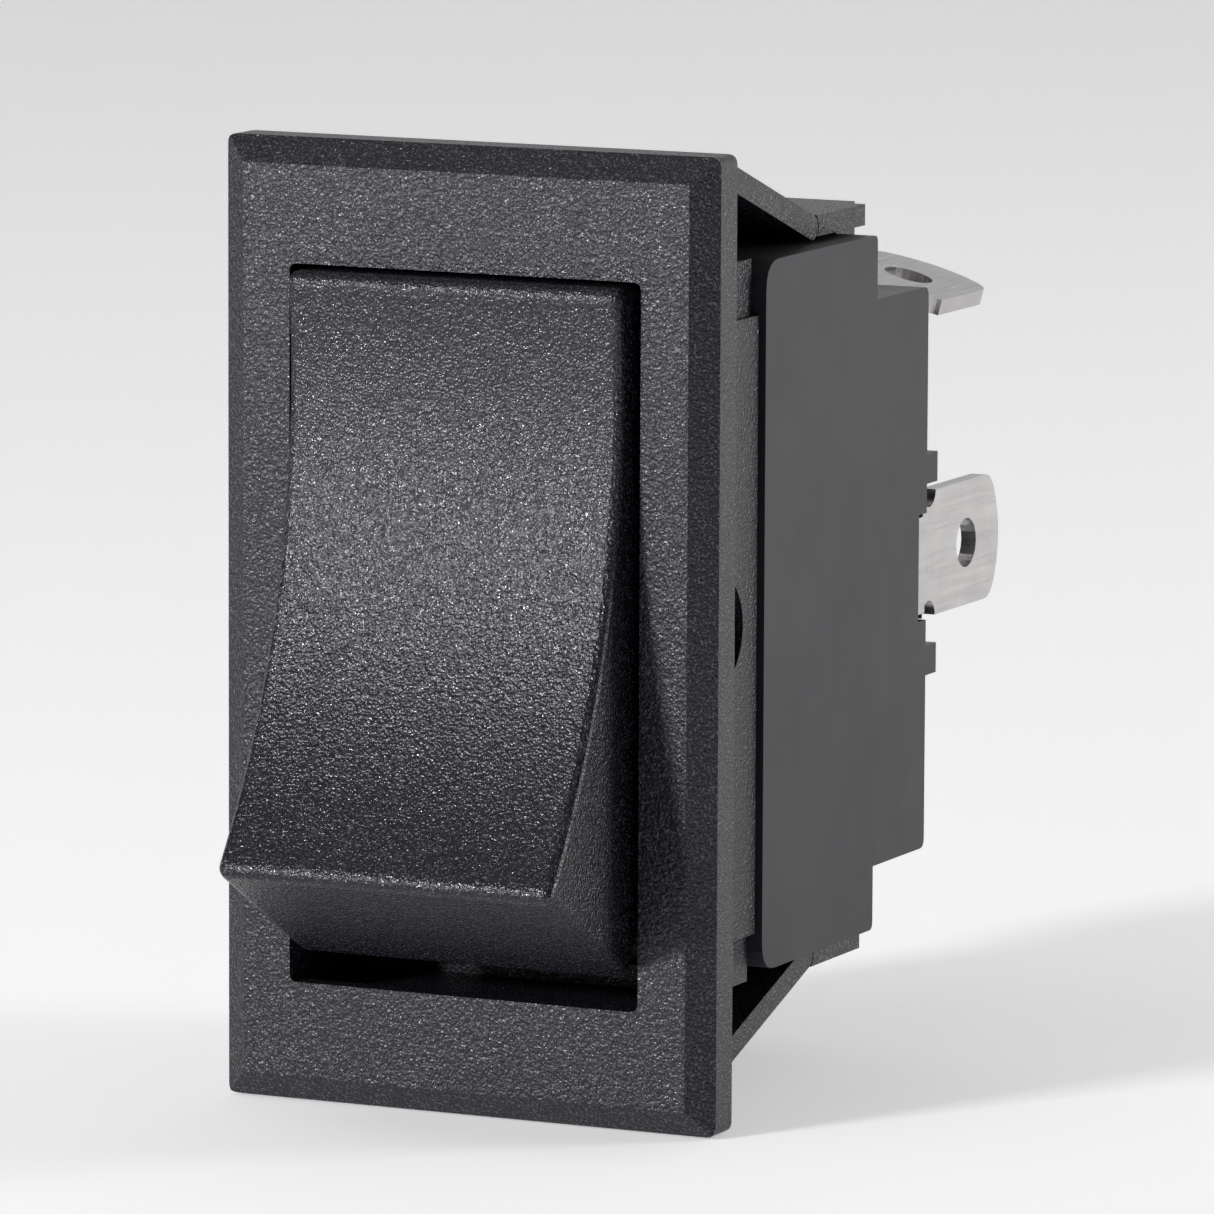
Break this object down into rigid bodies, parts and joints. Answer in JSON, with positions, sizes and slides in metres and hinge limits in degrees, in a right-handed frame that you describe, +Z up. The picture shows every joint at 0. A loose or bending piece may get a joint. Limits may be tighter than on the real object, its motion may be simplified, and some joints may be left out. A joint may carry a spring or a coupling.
{
  "type": "snap-in rocker switch",
  "caption": "Snap-in panel-mount rocker switch with a rectangular bezel, a see-saw contact inside and spade terminals at the back.",
  "frame": {"origin": "centre of the panel cut-out, on the plane where the back of the bezel rests on the panel", "axes": "+X to the right seen from the front, +Y into the panel, towards the terminals, +Z up along the rocker's length; the rocker faces -Y"},
  "size_m": [0.0258, 0.0494, 0.0464],
  "materials": {
    "grained_plastic": "fine-grained black moulded plastic",
    "rocker_plastic": "fine-grained black moulded plastic",
    "housing_plastic": "smooth semi-gloss dark plastic",
    "terminal_metal": "dull tin-plated brass sheet",
    "brass": "bare stamped brass",
    "silver_contact": "silver contact button",
    "plunger_plastic": "natural nylon",
    "spring_steel": "bright spring wire"
  },
  "bodies": {
    "root": {"bezel_frame": "grained_plastic", "rear_housing": "housing_plastic", "common_terminal": "terminal_metal", "load_terminal": "terminal_metal", "fulcrum_cradle": "brass", "fixed_contact": "silver_contact"},
    "rocker": {"rocker": "rocker_plastic"},
    "plunger": {"plunger": "plunger_plastic", "plunger_spring": "spring_steel"},
    "contact_arm": {"contact_arm": "brass", "moving_contact": "silver_contact"},
    "upper_wing": {"upper_snap_wing": "grained_plastic"},
    "lower_wing": {"lower_snap_wing": "grained_plastic"}
  },
  "joints": [
    {"name": "rocker_tilt", "type": "hinge", "parent": "root", "child": "rocker", "pos_m": [0, 0.0045, -0.0001], "axis": [1, 0, 0], "range_deg": [0, 30]},
    {"name": "plunger_slide", "type": "slide", "parent": "rocker", "child": "plunger", "axis": [0, 0.9664, -0.2571], "range_m": [-0.0007, 0], "stiffness_N_per_m": 600, "springref_m": 0.001, "deforming": ["plunger_spring"]},
    {"name": "contact_tilt", "type": "hinge", "parent": "root", "child": "contact_arm", "pos_m": [0.005, 0.02275, 0], "axis": [1, 0, 0], "range_deg": [-16.5, 0.5]},
    {"name": "upper_wing_flex", "type": "hinge", "parent": "root", "child": "upper_wing", "pos_m": [0, 0.01743, 0.01792], "axis": [1, 0, 0], "range_deg": [0, 17], "stiffness_Nm_per_rad": 0.4},
    {"name": "lower_wing_flex", "type": "hinge", "parent": "root", "child": "lower_wing", "pos_m": [0, 0.01743, -0.01792], "axis": [1, 0, 0], "range_deg": [-17, 0], "stiffness_Nm_per_rad": 0.4}
  ],
  "couplings": [
    {"joint": "contact_tilt", "follows": "rocker_tilt", "ratio": -0.53333}
  ]
}
